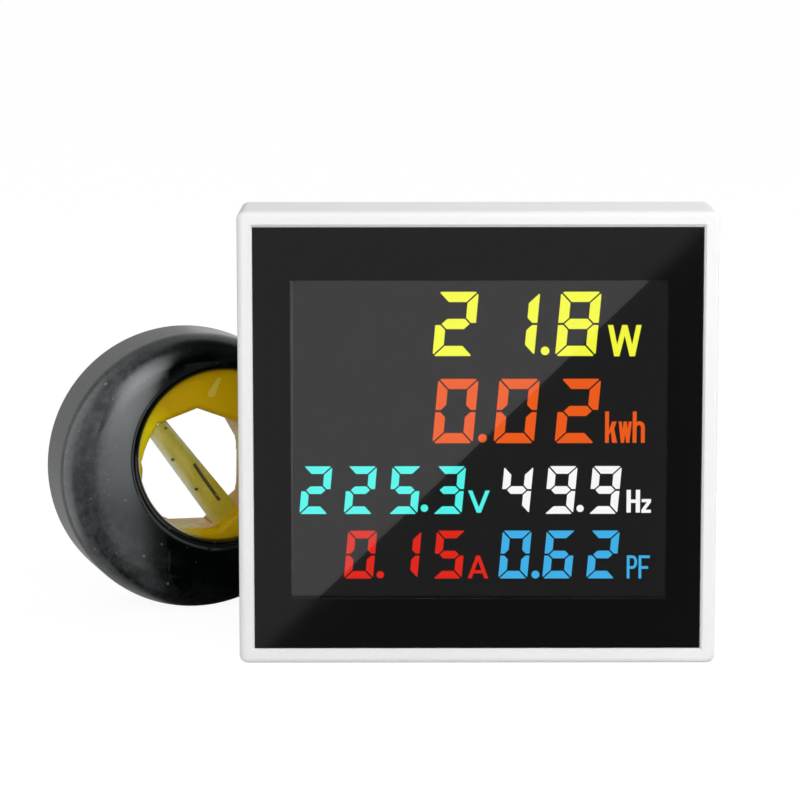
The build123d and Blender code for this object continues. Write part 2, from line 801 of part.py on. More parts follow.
def make_clip(side):
    """A sliding clip: a plate in the undercut rail, a foot for the panel, a spring tongue and a ridged grip."""
    floor = rail_floor + clip_play / 2
    plate_top = rail_floor + undercut_depth - clip_play
    neck_top = case_width / 2 + clip_play
    foot_top = bezel_width / 2 - clip_play
    profile_plane = Plane(origin=(0, front_y, mid_height), x_dir=(side, 0, 0), z_dir=(0, 0, side))
    with BuildPart() as clip:
        with BuildSketch(profile_plane.offset(0)):
            with BuildLine():
                Polyline(
                    (floor, clip_rest),
                    (foot_top, clip_rest),
                    (foot_top, clip_rest + clip_foot),
                    (neck_top, clip_rest + 2 * clip_foot),
                    (neck_top, clip_rest + clip_length - clip_tab),
                    (foot_top - clip_play, clip_rest + clip_length),
                    (floor, clip_rest + clip_length),
                    close=True,
                )
            make_face()
        extrude(amount=rail_width / 2 - clip_play, both=True)
        with BuildSketch(profile_plane.offset(0)):
            with BuildLine():
                Polyline(
                    (floor, clip_rest),
                    (plate_top, clip_rest),
                    (plate_top, clip_rest + clip_length),
                    (floor, clip_rest + clip_length),
                    close=True,
                )
            make_face()
        extrude(amount=rail_width / 2 + undercut_reach - clip_play, both=True)
        # Slot on three sides of the tongue that rides over the ratchet teeth
        tongue_front = clip_rest + 2 * clip_foot
        tongue_plane = Plane(origin=(0, front_y, mid_height), x_dir=(0, 1, 0), z_dir=(side, 0, 0))
        with BuildSketch(tongue_plane):
            with Locations((tongue_front + tongue_length / 2, 0)):
                Rectangle(tongue_length, tongue_width)
            with Locations((tongue_front + (tongue_length - tongue_slot) / 2, 0)):
                Rectangle(tongue_length - tongue_slot, tongue_width - 2 * tongue_slot, mode=Mode.SUBTRACT)
        extrude(amount=bezel_width / 2, mode=Mode.SUBTRACT)
        with BuildSketch(tongue_plane.offset(neck_top)):
            with Locations((tongue_front + tongue_length / 2, 0)):
                for flank in (-1, 1):
                    with Locations((0, flank * (rail_width + tongue_width) / 4)):
                        with GridLocations(grip_pitch, 0, grip_count, 1):
                            Rectangle(grip_pitch / 2, rail_width / 2 - tongue_width)
        extrude(amount=grip_ridge)
    return clip.part


write(make_clip(-1), "left_clip")
write(make_clip(1), "right_clip")

# Current ring, standing on its rim behind the meter's left side and turned a little to the right
ring_radius = ring_diameter / 2
turn = radians(ring_turn)
ring_plane = Plane(
    origin=(ring_x, front_y + ring_depth, ring_radius),
    x_dir=(cos(turn), sin(turn), 0),
    z_dir=(sin(turn), -cos(turn), 0),
)
ring_axis = Axis(ring_plane.origin, ring_plane.z_dir)
ring_front = ring_thickness / 2
cavity_radius = ring_radius - ring_wall
cavity_front = ring_front - ring_front_wall
hole_place = (ring_hole_shift_x, ring_hole_shift_z)
with BuildPart() as ring_shell:
    with BuildSketch(ring_plane.offset(-ring_front)):
        Circle(ring_radius)
    extrude(amount=ring_thickness)
    fillet(ring_shell.edges().sort_by(ring_axis)[-1], ring_edge_radius)
    fillet(ring_shell.edges().sort_by(ring_axis)[0], ring_back_radius)
    with BuildSketch(ring_plane.offset(-ring_front)):
        with Locations(hole_place):
            Circle(ring_hole_diameter / 2)
    extrude(amount=ring_thickness, mode=Mode.SUBTRACT)
    hole_rims = ring_shell.edges(Select.LAST).filter_by(GeomType.CIRCLE).sort_by(SortBy.RADIUS)[:2]
    fillet(hole_rims.sort_by(ring_axis)[-1], ring_hole_radius)
    with BuildSketch(ring_plane.offset(-ring_front)):
        Circle(cavity_radius)
    extrude(amount=ring_front + cavity_front, mode=Mode.SUBTRACT)
    cavity_corner = ring_shell.edges(Select.LAST).filter_by(GeomType.CIRCLE).sort_by(SortBy.RADIUS)[-2:]
    fillet(cavity_corner.sort_by(ring_axis)[-1], ring_edge_radius - ring_wall)
write(ring_shell.part, "ring_shell")

with BuildPart() as ring_cover:
    with BuildSketch(ring_plane.offset(-ring_front)):
        Circle(cavity_radius - window_play)
        with Locations(hole_place):
            Circle(ring_hole_diameter / 2, mode=Mode.SUBTRACT)
        with PolarLocations(bush_offset, 1, start_angle=bush_angle):
            Circle(bush_diameter / 2, mode=Mode.SUBTRACT)
    extrude(amount=cover_thickness)
write(ring_cover.part, "ring_cover")

# Wound core in its yellow tape, whose bore is faceted
tape_radius = cavity_radius - core_play
tape_front = cavity_front - core_play
tape_back = -ring_front + cover_thickness + core_play
winding_outer = tape_radius - tape_thickness
winding_inner = tape_bore_diameter / 2 + tape_thickness
winding_front = tape_front - tape_thickness
winding_back = tape_back + tape_thickness
with BuildPart() as ring_core:
    with BuildSketch(ring_plane.offset(winding_back + winding_wall)):
        Circle(winding_outer - winding_wall)
        Circle(winding_inner + winding_wall, mode=Mode.SUBTRACT)
    extrude(amount=winding_front - winding_back - 2 * winding_wall)
write(ring_core.part, "ring_core")

with BuildPart() as ring_winding:
    with BuildSketch(ring_plane.offset(winding_back)):
        Circle(winding_outer)
        Circle(winding_inner, mode=Mode.SUBTRACT)
    extrude(amount=winding_front - winding_back)
    chamfer(ring_winding.edges(), tape_corner - tape_thickness)
    add(ring_core.part, mode=Mode.SUBTRACT)
write(ring_winding.part, "ring_winding")

with BuildPart() as ring_tape:
    with BuildSketch(ring_plane.offset(tape_back)):
        Circle(tape_radius)
        RegularPolygon(tape_bore_diameter / 2, tape_facets, rotation=90, mode=Mode.SUBTRACT)
    extrude(amount=tape_front - tape_back)
    chamfer(ring_tape.edges().filter_by(GeomType.CIRCLE), tape_corner)
    add(ring_winding.part, mode=Mode.SUBTRACT)
    add(ring_core.part, mode=Mode.SUBTRACT)
write(ring_tape.part, "ring_tape")

# Strap of tape across the bore
with BuildPart() as ring_strap:
    with BuildSketch(ring_plane.offset(tape_front - strap_depth)):
        RegularPolygon(tape_bore_diameter / 2, tape_facets, rotation=90)
        with Locations(Location((0, 0, 0), (0, 0, strap_angle))):
            with Locations((0, -strap_shift)):
                Rectangle(2 * tape_bore_diameter, strap_width, mode=Mode.INTERSECT)
    extrude(amount=-strap_thickness)
write(ring_strap.part, "ring_strap")

# Bush where the ring's lead leaves the cover
with BuildPart() as lead_bush:
    with BuildSketch(ring_plane.offset(-ring_front + cover_thickness)):
        with PolarLocations(bush_offset, 1, start_angle=bush_angle):
            Circle(bush_diameter / 2)
            Circle(bush_bore_diameter / 2, mode=Mode.SUBTRACT)
    extrude(amount=-bush_length)
write(lead_bush.part, "lead_bush")
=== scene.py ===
import math

import bmesh
import bpy
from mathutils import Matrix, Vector


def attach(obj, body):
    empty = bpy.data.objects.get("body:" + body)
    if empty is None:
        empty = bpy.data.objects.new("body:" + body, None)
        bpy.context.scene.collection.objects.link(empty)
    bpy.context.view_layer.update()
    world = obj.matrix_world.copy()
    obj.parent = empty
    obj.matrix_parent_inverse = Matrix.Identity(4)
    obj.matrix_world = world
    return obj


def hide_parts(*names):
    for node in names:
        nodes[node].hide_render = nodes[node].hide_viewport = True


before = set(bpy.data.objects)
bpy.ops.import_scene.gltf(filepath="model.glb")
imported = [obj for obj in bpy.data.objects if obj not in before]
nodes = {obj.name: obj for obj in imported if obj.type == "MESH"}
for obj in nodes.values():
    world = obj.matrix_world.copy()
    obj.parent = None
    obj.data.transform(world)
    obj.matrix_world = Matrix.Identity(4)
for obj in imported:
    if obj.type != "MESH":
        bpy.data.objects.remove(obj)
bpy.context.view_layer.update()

MM = 0.001
X_AXIS, Z_AXIS = 0, 2
WHITE = (1.0, 1.0, 1.0, 1.0)
PLASTIC_IOR = 1.5
CLEAR_IOR = 1.49
scene = bpy.context.scene
scene.view_settings.view_transform = "Standard"


# Camera

camera_data = bpy.data.cameras.new("photo_camera")
camera_data.lens = 153.54
camera_data.sensor_width = 36.0
camera_data.clip_start = 0.02
camera_data.clip_end = 50.0
camera = bpy.data.objects.new("photo_camera", camera_data)
camera.location = (-0.0122, -0.5424, 0.1209)
camera.rotation_euler = (math.radians(81.657), math.radians(0.05), math.radians(0.004))
scene.collection.objects.link(camera)
scene.camera = camera


# Node helpers

def srgb(r, g, b):
    """Linear colour of an 8-bit sRGB one."""
    def channel(v):
        v /= 255.0
        return v / 12.92 if v <= 0.04045 else ((v + 0.055) / 1.055) ** 2.4
    return (channel(r), channel(g), channel(b), 1.0)


def scaled(colour, factor):
    return tuple(min(c * factor, 1.0) for c in colour[:3]) + (1.0,)


class Nodes:
    """Adds nodes to a material or world tree and links them."""

    def __init__(self, owner):
        owner.use_nodes = True
        self.tree = owner.node_tree
        self.tree.nodes.clear()

    def add(self, kind, settings=None, **inputs):
        node = self.tree.nodes.new("ShaderNode" + kind)
        for key, value in (settings or {}).items():
            setattr(node, key, value)
        for key, value in inputs.items():
            self.put(node.inputs[key.replace("_", " ")], value)
        return node

    def put(self, socket, value):
        if isinstance(value, bpy.types.NodeSocket):
            self.tree.links.new(value, socket)
        else:
            socket.default_value = value

    def math(self, operation, a, b=0.0):
        node = self.add("Math", {"operation": operation})
        self.put(node.inputs[0], a)
        self.put(node.inputs[1], b)
        return node.outputs[0]

    def vector(self, operation, a, b=(0.0, 0.0, 0.0)):
        node = self.add("VectorMath", {"operation": operation})
        self.put(node.inputs[0], a)
        self.put(node.inputs[1], b)
        return node

    def mix(self, factor, a, b):
        node = self.add("Mix", {"data_type": "RGBA"})
        self.put(node.inputs[0], factor)
        self.put(node.inputs[6], a)
        self.put(node.inputs[7], b)
        return node.outputs[2]

    def noise(self, scale, detail=3.0, where=None, roughness=0.5):
        node = self.add("TexNoise", Scale=scale, Detail=detail, Roughness=roughness)
        self.put(node.inputs["Vector"], where or self.object())
        return node.outputs["Fac"]

    def object(self):
        return self.add("TexCoord").outputs["Object"]

    def along(self, where, axis):
        return self.add("SeparateXYZ", Vector=where).outputs[axis]

    def ramp(self, factor, low, high, out_low=0.0, out_high=1.0):
        node = self.add("MapRange", {"clamp": True})
        self.put(node.inputs["Value"], factor)
        node.inputs["From Min"].default_value = low
        node.inputs["From Max"].default_value = high
        node.inputs["To Min"].default_value = out_low
        node.inputs["To Max"].default_value = out_high
        return node.outputs["Result"]

    def ease(self, factor, low, high, out_low, out_high):
        result = self.ramp(factor, low, high, out_low, out_high)
        result.node.interpolation_type = "SMOOTHERSTEP"
        return result

    def bump(self, distance, height, **under):
        """Relief of a height in metres, on top of another one when that is given as Normal."""
        return self.add("Bump", Strength=1.0, Distance=distance, Height=height, **under).outputs[0]

    def blend(self, factor, first, second):
        """One shader at factor 0, the other at factor 1."""
        node = self.add("MixShader")
        self.put(node.inputs[0], factor)
        self.put(node.inputs[1], first.outputs[0])
        self.put(node.inputs[2], second.outputs[0])
        return node

    def finish(self, shader):
        kind = "OutputWorld" if isinstance(self.tree.id_data, bpy.types.World) else "OutputMaterial"
        self.put(self.add(kind).inputs["Surface"], shader.outputs[0])


def new_material(name):
    material = bpy.data.materials.new(name)
    return material, Nodes(material)


def plastic(name, colour, roughness=0.4, grain=0.00025, height=0.000004, mottle=0.03, metallic=0.0):
    """Moulded, plated or printed surface: faint colour drift, uneven gloss and a fine grain."""
    material, n = new_material(name)
    base = n.mix(n.noise(90.0, 2.0), scaled(colour, 1.0 - mottle), scaled(colour, 1.0 + mottle))
    rough = n.ramp(n.noise(420.0, 3.0), 0.3, 0.7, roughness * 0.88, min(roughness * 1.12, 1.0))
    n.finish(n.add("BsdfPrincipled", Base_Color=base, Roughness=rough, Metallic=metallic, IOR=PLASTIC_IOR,
                   Normal=n.bump(height, n.noise(1.0 / grain, 2.0))))
    return material


def clear(name, colour, roughness=0.0):
    """Clear moulded plastic with a hardly visible drift of its tint."""
    material, n = new_material(name)
    tint = n.mix(n.noise(60.0, 1.0), colour, scaled(colour, 0.995))
    n.finish(n.add("BsdfPrincipled", Base_Color=tint, Roughness=roughness, IOR=CLEAR_IOR,
                   Transmission_Weight=1.0))
    return material


# Half the light guide's length in metres, and the share of light at its far end
GUIDE_HALF_LENGTH = 0.03
GUIDE_END_LEVEL = 0.985


def glow(name, colour):
    """A lit liquid crystal segment: even light that falls off faintly to the far end of the light guide."""
    material, n = new_material(name)
    x = n.along(n.object(), X_AXIS)
    level = n.ramp(x, -GUIDE_HALF_LENGTH, GUIDE_HALF_LENGTH, 1.0, GUIDE_END_LEVEL)
    n.finish(n.add("BsdfPrincipled", Base_Color=scaled(colour, 0.02), Roughness=0.03, Emission_Color=colour,
                   Emission_Strength=level))
    return material


# Light: a pale world that looks white, one large soft lamp in front and a small one at the right

WORLD_FILL = 0.42

world = bpy.data.worlds.new("studio")
scene.world = world
n = Nodes(world)
ray = n.add("LightPath").outputs
mirrored_or_through = n.math("MAXIMUM", ray["Is Glossy Ray"], ray["Is Transmission Ray"])
seen = n.math("MAXIMUM", ray["Is Camera Ray"], mirrored_or_through)
fill = n.add("Background", Color=WHITE, Strength=WORLD_FILL)
white = n.add("Background", Color=WHITE, Strength=1.0)
n.finish(n.blend(seen, fill, white))


def lamp(name, place, target, size, watts):
    data = bpy.data.lights.new(name, "AREA")
    data.shape = "RECTANGLE"
    data.size, data.size_y = size
    data.energy = watts
    lamp_object = bpy.data.objects.new(name, data)
    lamp_object.location = place
    aim = Vector(target) - Vector(place)
    lamp_object.rotation_euler = aim.to_track_quat("-Z", "Y").to_euler()
    lamp_object.visible_glossy = False
    scene.collection.objects.link(lamp_object)


lamp("key_lamp", (0.12, -0.9, 0.36), target=(0.0, 0.0, 0.04), size=(0.6, 0.5), watts=3.2)
lamp("side_lamp", (0.24, -0.16, 0.30), target=(0.0, 0.0, 0.05), size=(0.14, 0.14), watts=0.59)


# Floor and reflection cards

def card(name, outline, shade):
    """A flat sheet from an outline of points, in metres."""
    mesh = bpy.data.meshes.new(name)
    mesh.from_pydata(outline, [], [tuple(range(len(outline)))])
    sheet = bpy.data.objects.new(name, mesh)
    mesh.materials.append(shade)
    scene.collection.objects.link(sheet)
    return sheet


# The floor glows nearly white to the camera and takes soft shadows; to other rays it is pale paint
FLOOR_REACH = 4.0
FLOOR_GLOW = 0.935

floor_material, n = new_material("floor_paint")
paint = n.add("BsdfDiffuse", Color=(0.8, 0.8, 0.8, 1.0))
shadowed = n.add("BsdfDiffuse", Color=(0.14, 0.14, 0.14, 1.0))
lit = n.add("Emission", Color=WHITE, Strength=FLOOR_GLOW)
both = n.add("AddShader")
n.put(both.inputs[0], shadowed.outputs[0])
n.put(both.inputs[1], lit.outputs[0])
n.finish(n.blend(n.add("LightPath").outputs["Is Camera Ray"], paint, both))

floor_corners = [(x * FLOOR_REACH, y * FLOOR_REACH, 0.0) for x, y in ((-1, -1), (1, -1), (1, 1), (-1, 1))]
floor = card("floor", floor_corners, floor_material)
floor.visible_glossy = False
floor.visible_transmission = False


def card_shade(name, level, along_x, along_z, one_sided):
    """A light level, times the (place in millimetres, share of the level) steps along each axis."""
    material, n = new_material(name)
    for axis, steps in ((X_AXIS, along_x), (Z_AXIS, along_z)):
        if not steps:
            continue
        low, high = steps[0][0], steps[-1][0]
        peak = max(step[1] for step in steps)
        place = n.ramp(n.along(n.object(), axis), low * MM, high * MM)
        ramp = n.add("ValToRGB", Fac=place)
        stops = ramp.color_ramp.elements
        while len(stops) < len(steps):
            stops.new(0.5)
        for stop, (where, value) in zip(stops, steps):
            stop.position = (where - low) / (high - low)
            stop.color = (value / peak,) * 3 + (1.0,)
        level = n.math("MULTIPLY", n.math("MULTIPLY", ramp.outputs[0], peak), level)
    if one_sided:
        behind = n.add("NewGeometry").outputs["Backfacing"]
        level = n.math("MULTIPLY", n.math("SUBTRACT", 1.0, behind), level)
    n.finish(n.add("Emission", Color=WHITE, Strength=level))
    return material


def reflection_card(name, corners, level, along_x=(), along_z=(), one_sided=False):
    """A sheet seen only in reflections, from corner points in millimetres."""
    sheet = card(name, [(x * MM, y * MM, z * MM) for x, y, z in corners],
                 card_shade(name + "_shade", level, along_x, along_z, one_sided))
    sheet.visible_camera = False
    sheet.visible_diffuse = False
    sheet.visible_shadow = False


def fence(start, end, z_ends):
    """Corners of an upright rectangle that stands on the line between two (x, y) points."""
    low, high = z_ends
    return [(*start, low), (*end, low), (*end, high), (*start, high)]


def wall(y, x_ends, z_ends):
    """Corners of an upright rectangle across the view. With x ends from right to left it faces the back."""
    return fence((x_ends[0], y), (x_ends[1], y), z_ends)


def level_sheet(z, x_ends, y_ends):
    """Corners of a level rectangle."""
    (x0, x1), (y0, y1) = x_ends, y_ends
    return [(x0, y0, z), (x1, y0, z), (x1, y1, z), (x0, y1, z)]


def upright(y, *points):
    """Corners of any upright sheet across the view, from (x, z) points."""
    return [(x, y, z) for x, z in points]


# The room in the ring's gloss, in millimetres: pale at the left, dark at the right, lights before its front
FRONT_WALL = -770
PALE_WALL = FRONT_WALL - 2
LIGHTS = FRONT_WALL + 10
ROOM_LEFT, PALE_SEAM, DARK_LEFT, ROOM_RIGHT = -1200, -50, 240, 2000
ROOM_HEIGHTS = (-900, 1300)
LIGHT_SEAM = 340
DARK = 0.012

reflection_card("dark_wall", wall(FRONT_WALL, (DARK_LEFT, ROOM_RIGHT), (-400, 1700)), DARK)
reflection_card("dark_ground", level_sheet(-400, (-130, ROOM_RIGHT), (FRONT_WALL, 900)), DARK)
reflection_card("dark_ceiling", level_sheet(1200, (0, ROOM_RIGHT), (FRONT_WALL, 300)), DARK)
reflection_card("left_wall", wall(PALE_WALL, (ROOM_LEFT, PALE_SEAM), ROOM_HEIGHTS), 1.0,
                along_x=[(ROOM_LEFT, 1.9), (-250, 1.4), (PALE_SEAM, 1.25)],
                along_z=[(-900, 0.4), (-250, 0.5), (-100, 0.75), (0, 1.0), (600, 1.0), (1300, 0.5)])
reflection_card("middle_wall", wall(PALE_WALL, (PALE_SEAM, DARK_LEFT), ROOM_HEIGHTS), 1.0,
                along_x=[(PALE_SEAM, 1.25), (60, 1.9), (130, 3.0), (DARK_LEFT, 3.1)],
                along_z=[(-900, 0.15), (-466, 0.25), (-250, 0.5), (-170, 0.55), (-100, 0.8), (-40, 1.0),
                         (150, 1.0), (250, 0.5), (560, 0.22), (1300, 0.1)])
reflection_card("left_side", fence((ROOM_LEFT, FRONT_WALL), (ROOM_LEFT, 500), ROOM_HEIGHTS), 2.6)
reflection_card("left_back", fence((ROOM_LEFT, 500), (-100, 900), ROOM_HEIGHTS), 0.58)
reflection_card("grey_wall", wall(LIGHTS - 2, (-90, 125), (-185, 20)), 0.12)
reflection_card("window_light", upright(LIGHTS + 1.5, (-90, -189.3), (125, 19.6), (-90, 19.6)), 0.48)
reflection_card("ring_light_left", wall(LIGHTS, (DARK_LEFT, LIGHT_SEAM), (-700, 700)), 1.0,
                along_z=[(-700, 0.2), (-361, 0.55), (-255, 0.8), (-200, 1.0), (-151, 1.3), (-111, 2.8),
                         (-95, 3.1), (-50, 3.4), (40, 3.0), (90, 1.6), (130, 1.0), (232, 0.8), (340, 0.1),
                         (700, 0.02)])
reflection_card("ring_light", upright(LIGHTS, (LIGHT_SEAM, -400), (393, -400), (412, -79), (412, 60),
                                      (LIGHT_SEAM, 60)), 1.0,
                along_z=[(-400, 0.05), (-255, 0.3), (-199, 0.12), (-170, 0.75), (-155, 1.4), (-141, 2.3),
                         (-122, 3.2), (-110, 3.7), (-97, 4.9), (-58, 5.1), (-35, 3.0), (-5, 1.0), (25, 0.3),
                         (60, 0.05)])

# Small sheets near the meter's left side; the one-sided ones are lit only towards the ring
GLINTS = 12
GLINT_RIGHT = -41
GLINT_SEAM = 31

reflection_card("near_wall", wall(-100, (-75, -41), (-28, 46)), 1.0,
                along_x=[(-75, 1.1), (-58, 1.15), (-41, 2.2)],
                along_z=[(-28, 0.45), (-10, 0.6), (14, 1.0), (46, 1.1)])
reflection_card("ring_glint", wall(GLINTS, (GLINT_RIGHT, -60), (GLINT_SEAM, 66)), 7.4,
                along_x=[(-60, 0.15), (-57.5, 0.3), (-54, 0.82), (-50.5, 1.0), (-48, 0.93), (-45, 0.7),
                         (-43.2, 0.42), (-41.8, 0.12), (GLINT_RIGHT, 0.02)],
                along_z=[(GLINT_SEAM, 0.62), (34, 0.7), (37, 0.85), (41, 1.0), (45, 0.96), (49, 0.68),
                         (54, 0.42), (60, 0.12), (66, 0.02)], one_sided=True)
reflection_card("ring_glint_low", wall(GLINTS, (GLINT_RIGHT, -68), (-26, GLINT_SEAM)), 1.0,
                along_x=[(-68, 0.3), (-58, 0.42), (-55, 0.78), (-52, 1.0), (-49, 1.05), (-48, 1.0),
                         (-46.5, 0.85), (-44.9, 0.5), (-43.2, 0.2), (GLINT_RIGHT, 0.08)],
                along_z=[(-26, 0.3), (-6, 0.5), (0, 0.75), (4, 1.3), (8, 1.45), (13, 1.45), (16, 1.85),
                         (20, 2.7), (26.5, 3.4), (GLINT_SEAM, 4.3)], one_sided=True)
reflection_card("ring_rim_light", wall(GLINTS + 1, (-4, GLINT_RIGHT), (10, 34)), 1.7,
                along_x=[(GLINT_RIGHT, 0.5), (-38, 1.0), (-20, 0.7), (-4, 0.1)],
                along_z=[(10, 0.0), (15, 0.6), (20, 1.0), (28, 1.0), (34, 0.1)], one_sided=True)
reflection_card("ring_shade", wall(GLINTS + 0.5, (GLINT_RIGHT, 20), (-10, 70)), DARK)


# Finishes for the solids: colour and roughness, then size and height of the grain in metres, and mottle

PLASTICS = {
    "white_abs": ((0.875, 0.875, 0.875), 0.42, 0.0003, 0.000003, 0.006),
    "case_white": ((0.84, 0.845, 0.84), 0.5, 0.0004, 0.000008, 0.01),
    "lcd_black": ((0.0012, 0.0012, 0.0013), 0.03, 0.01, 0.0, 0.1),
    "overlay_black": ((0.0008, 0.0008, 0.0008), 0.045, 0.01, 0.0, 0.1),
    "tray_white": ((0.9, 0.9, 0.88), 0.4),
    "led_yellow": ((0.8, 0.62, 0.05), 0.4),
    "frame_black": ((0.02, 0.02, 0.02), 0.45),
    "contact_rubber": ((0.35, 0.33, 0.33), 0.7),
    "board_green": ((0.02, 0.13, 0.05), 0.35, 0.0006, 0.00001, 0.15),
    "chip_black": ((0.025, 0.025, 0.027), 0.55),
    "film_yellow": ((0.8, 0.5, 0.03), 0.4),
    "can_black": ((0.02, 0.02, 0.025), 0.35),
    "varistor_blue": ((0.03, 0.12, 0.5), 0.4),
    "resistor_grey": ((0.4, 0.45, 0.42), 0.55),
    "terminal_green": ((0.02, 0.22, 0.09), 0.42, 0.0003, 0.000006, 0.04),
    "button_black": ((0.02, 0.02, 0.021), 0.4),
    "clip_grey": ((0.3, 0.31, 0.32), 0.5, 0.0003, 0.000008, 0.04),
    "tape_yellow": ((0.5, 0.38, 0.01), 0.4),
    "bush_black": ((0.02, 0.02, 0.02), 0.6),
}
METALS = {
    "steel": ((0.62, 0.62, 0.61), 0.32, 0.00015, 0.000004, 0.05),
    "nickel": ((0.66, 0.64, 0.6), 0.28, 0.0002, 0.000004, 0.05),
    "switch_steel": ((0.5, 0.5, 0.5), 0.35),
    "core_steel": ((0.35, 0.35, 0.36), 0.4),
    "copper": ((0.72, 0.3, 0.14), 0.3),
}
finishes = {name: plastic(name, *values) for name, values in PLASTICS.items()}
finishes.update({name: plastic(name, *values, metallic=1.0) for name, values in METALS.items()})
finishes["clear_window"] = clear("clear_window", WHITE)
finishes["light_guide"] = clear("light_guide", (0.97, 0.98, 1.0, 1.0), 0.25)


# Place and turn of the current ring, and the middle of its hole, in millimetres
RING_CENTRE = (-48.6, 41.0, 23.8)
RING_TURN = math.radians(17.2)
HOLE_CENTRE = (4.0, 2.8)


def in_ring(u, v, w):
    """Place in metres from millimetres in the ring's own frame: right, up and towards the viewer."""
    c, s = math.cos(RING_TURN), math.sin(RING_TURN)
    x, y, z = RING_CENTRE
    return ((x + u * c + w * s) * MM, (y + u * s - w * c) * MM, (z + v) * MM)


def ring_reach(n, where, u=0.0, v=0.0):
    """Distance from a line along the ring's axis, through a point of the ring's plane in millimetres."""
    axis = (math.sin(RING_TURN), -math.cos(RING_TURN), 0.0)
    arm = n.vector("SUBTRACT", where, in_ring(u, v, 0.0)).outputs[0]
    cross = n.vector("CROSS_PRODUCT", arm, axis).outputs[0]
    return n.vector("LENGTH", cross).outputs["Value"]


def ring_plastic():
    """Black moulded shell with uneven gloss, flow marks, scuffs, pale dust and a painted sheen on its lit
    left side, its distances in metres.
    """
    material, n = new_material("ring_black")
    where = n.object()
    reach = ring_reach(n, where)
    from_hole = ring_reach(n, where, *HOLE_CENTRE)
    cloud = n.noise(190.0, 5.0, where, 0.62)
    scuff = n.noise(900.0, 5.0, where, 0.65)
    specks = []
    for scale, size, share in ((330.0, 0.1, 0.25), (600.0, 0.09, 0.5)):
        cells = n.add("TexVoronoi", {"feature": "F1"}, Scale=scale, Randomness=1.0, Vector=where)
        dot = n.ramp(cells.outputs["Distance"], size * 0.6, size, 1.0, 0.0)
        lot = n.add("SeparateColor", Color=cells.outputs["Color"]).outputs[0]
        specks.append(n.math("MULTIPLY", dot, n.ramp(lot, share, share + 0.01)))
    dust = n.math("MAXIMUM", *specks)

    # Haze and dust are painted mostly at the left, where the ring is lit: real mottle and dust there, and
    # painted sheen that lightens the lit side; both keep away from the hole
    lit_side = n.ramp(n.along(where, X_AXIS), -0.06, -0.047, 1.0, 0.15)
    outer = n.math("MULTIPLY", n.ramp(from_hole, 0.0175, 0.023), lit_side)
    haze_and_sheen = n.ramp(n.math("MULTIPLY", cloud, n.ramp(scuff, 0.35, 0.65, 0.6, 1.2)), 0.35, 0.6)
    base = n.mix(n.math("MULTIPLY", haze_and_sheen, outer), (0.0006, 0.0011, 0.0011, 1.0), (0.03, 0.032, 0.0345, 1.0))
    dusted = n.math("MULTIPLY", dust, n.ramp(outer, 0.0, 1.0, 0.3, 1.0))
    base = n.mix(dusted, base, (0.15, 0.165, 0.17, 1.0))

    # Duller at scuffs, towards the outer rim and round the hole
    rough = n.ramp(cloud, 0.3, 0.7, 0.03, 0.07)
    for more in (n.ramp(scuff, 0.55, 0.8, 0.0, 0.1), n.ease(reach, 0.0185, 0.0225, 0.0, 0.24),
                 n.ease(from_hole, 0.0162, 0.018, 0.08, 0.0)):
        rough = n.math("ADD", rough, more)

    # Soft shoulders towards the outer rim and round the hole, then low waves and a fine grain
    shoulder = n.ease(reach, 0.0175, 0.0208, 0.0, -0.00011)
    for more in (n.ease(reach, 0.0196, 0.0232, 0.0, 0.0003),
                 n.ease(from_hole, 0.015, 0.0178, -0.000012, 0.0)):
        shoulder = n.math("ADD", shoulder, more)
    soft = n.bump(1.0, shoulder)
    waves = n.bump(0.000012, n.noise(110.0, 2.0, where, 0.4), Normal=soft)
    fine = n.bump(0.000002, n.noise(2600.0, 2.0, where), Normal=waves)
    n.finish(n.add("BsdfPrincipled", Base_Color=base, Roughness=rough, IOR=PLASTIC_IOR, Normal=fine,
                   Specular_Tint=(0.93, 0.99, 1.0, 1.0)))
    return material


finishes["ring_black"] = ring_plastic()

# Heights at which the film's colour changes, and the width of each change, in millimetres
FILM_STEPS = (22.3, 33.3, 47.3)
FILM_EDGE = 0.1


def film():
    """The film behind the display: one flat colour for each row and side."""
    material, n = new_material("colour_film")
    where = n.object()
    right = n.ramp(n.along(where, X_AXIS), 0.0, FILM_EDGE * MM)
    height = n.along(where, Z_AXIS)
    colour = n.mix(right, srgb(240, 30, 10), srgb(60, 180, 250))
    middle = n.mix(right, srgb(80, 255, 240), srgb(240, 240, 240))
    for step, above in zip(FILM_STEPS, (middle, srgb(255, 105, 25), srgb(255, 250, 40))):
        colour = n.mix(n.ramp(height, step * MM, (step + FILM_EDGE) * MM), colour, above)
    n.finish(n.add("BsdfPrincipled", Base_Color=colour, Roughness=0.3, Transmission_Weight=0.4))
    return material


finishes["colour_film"] = film()

for node in nodes.values():
    slot = node.data.materials[0].name.split(".")[0]
    node.data.materials.clear()
    node.data.materials.append(finishes[slot])

# The ring doesn't mirror the meter beside it, as the photograph has it
for name in ("front_bezel", "front_overlay", "lcd_cell", "colour_film", "light_guide", "reflector_tray",
             "display_frame", "main_board", "rear_case"):
    nodes[name].visible_glossy = False


# Lit display

def link(name, mesh, material, body):
    mesh.materials.append(material)
    piece = bpy.data.objects.new(name, mesh)
    scene.collection.objects.link(piece)
    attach(piece, body)
    return piece


def mesh_of(bm, name):
    """Turns edit geometry into a mesh."""
    mesh = bpy.data.meshes.new(name)
    bm.to_mesh(mesh)
    bm.free()
    return mesh


DISPLAY_Y = -6.13
SEGMENT_THICKNESS = 0.03


def prism(bm, outline):
    """Adds a thin closed plate from (x, z) points at the display's front, all in millimetres."""
    front = [bm.verts.new((x, DISPLAY_Y, z)) for x, z in outline]
    back = [bm.verts.new((x, DISPLAY_Y + SEGMENT_THICKNESS, z)) for x, z in outline]
    bm.faces.new(front)
    bm.faces.new(list(reversed(back)))
    for i in range(len(front)):
        j = (i + 1) % len(front)
        bm.faces.new((front[j], front[i], back[i], back[j]))


